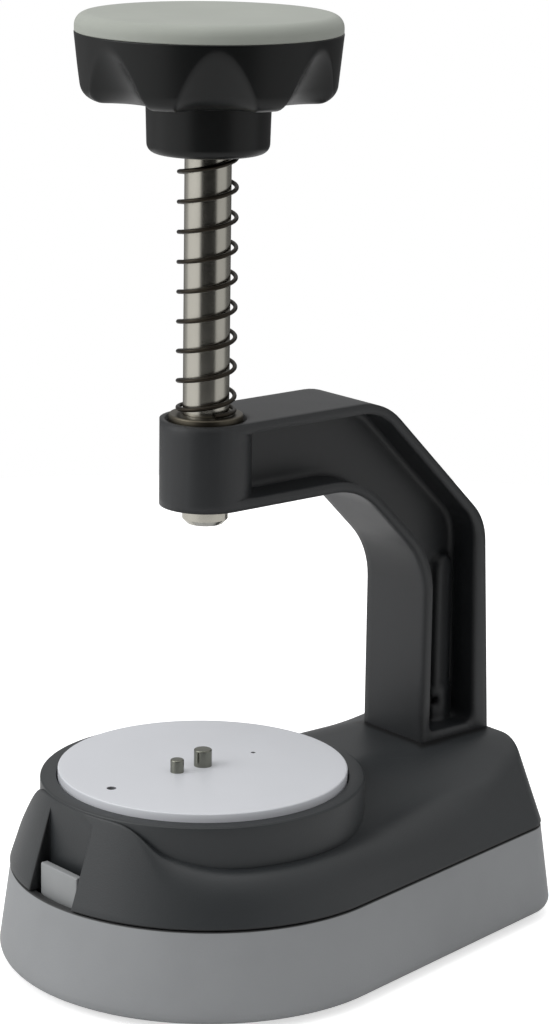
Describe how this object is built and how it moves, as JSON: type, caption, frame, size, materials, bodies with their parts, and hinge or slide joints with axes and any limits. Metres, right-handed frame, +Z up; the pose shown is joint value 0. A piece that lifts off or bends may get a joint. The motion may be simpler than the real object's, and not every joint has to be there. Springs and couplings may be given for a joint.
{
  "type": "watch rotor press",
  "caption": "Small bench press for watch movements: a sprung ram with a scalloped knob in a C-shaped arm over a white work disc, on a housing that lifts off a storage tray.",
  "frame": {"origin": "on the table plane, under the middle of the base's outline", "axes": "+X to the press's right seen from the front, +Y from the front notch to the column, +Z up along the ram"},
  "size_m": [0.0922, 0.1266, 0.209],
  "materials": {
    "tray_plastic": "finely grained moulded grey",
    "tongue_plastic": "finely grained moulded light grey",
    "housing_plastic": "finely grained moulded dark slate",
    "foot_rubber": "matt black",
    "plate_steel": "rolled, matt",
    "screw_steel": "zinc plated",
    "painted_casting": "dark grey satin paint",
    "bush_bronze": "dark oiled bronze",
    "ground_steel": "ground and nickel bright",
    "black_steel": "blackened",
    "washer_nylon": "natural",
    "spring_steel": "oiled dark wire",
    "knob_plastic": "satin black",
    "insert_brass": "turned",
    "cap_rubber": "matt grey",
    "disc_plastic": "smooth white"
  },
  "bodies": {
    "tray": {"tray": "tray_plastic", "rubber_feet": "foot_rubber"},
    "latch": {"latch_tongue": "tongue_plastic"},
    "housing": {"housing": "housing_plastic", "base_plate": "plate_steel", "base_plate_screws": "screw_steel", "anvil": "plate_steel", "anvil_screws": "screw_steel", "column_arm": "painted_casting", "column_screw": "screw_steel", "column_washer": "screw_steel", "upper_bush": "bush_bronze", "lower_bush": "bush_bronze"},
    "spring": {"return_spring": "spring_steel"},
    "ram": {"ram": "ground_steel", "retaining_ring": "black_steel", "stop_washer": "washer_nylon", "knob_body": "knob_plastic", "knob_insert": "insert_brass", "knob_screw": "screw_steel", "knob_cap": "cap_rubber"},
    "disc": {"work_disc": "disc_plastic", "centre_pin": "ground_steel", "locating_pin": "ground_steel"}
  },
  "joints": [
    {"name": "tongue_press", "type": "hinge", "parent": "tray", "child": "latch", "pos_m": [0, -0.05665, 0.0055], "axis": [-1, 0, 0], "range_deg": [0, 3], "stiffness_Nm_per_rad": 0.04, "springref_deg": -8.59},
    {"name": "housing_lift", "type": "slide", "parent": "tray", "child": "housing", "axis": [0, 0, 1], "range_m": [0, 0.04]},
    {"name": "ram_spin", "type": "hinge", "parent": "housing", "child": "spring", "pos_m": [0, -0.01865, 0.1237], "axis": [0, 0, 1], "continuous": true},
    {"name": "ram_slide", "type": "slide", "parent": "spring", "child": "ram", "axis": [0, 0, -1], "range_m": [0, 0.044], "stiffness_N_per_m": 300, "springref_m": -0.02, "deforming": ["return_spring"]},
    {"name": "disc_lift", "type": "slide", "parent": "housing", "child": "disc", "axis": [0, 0, 1], "range_m": [0, 0.007]}
  ]
}
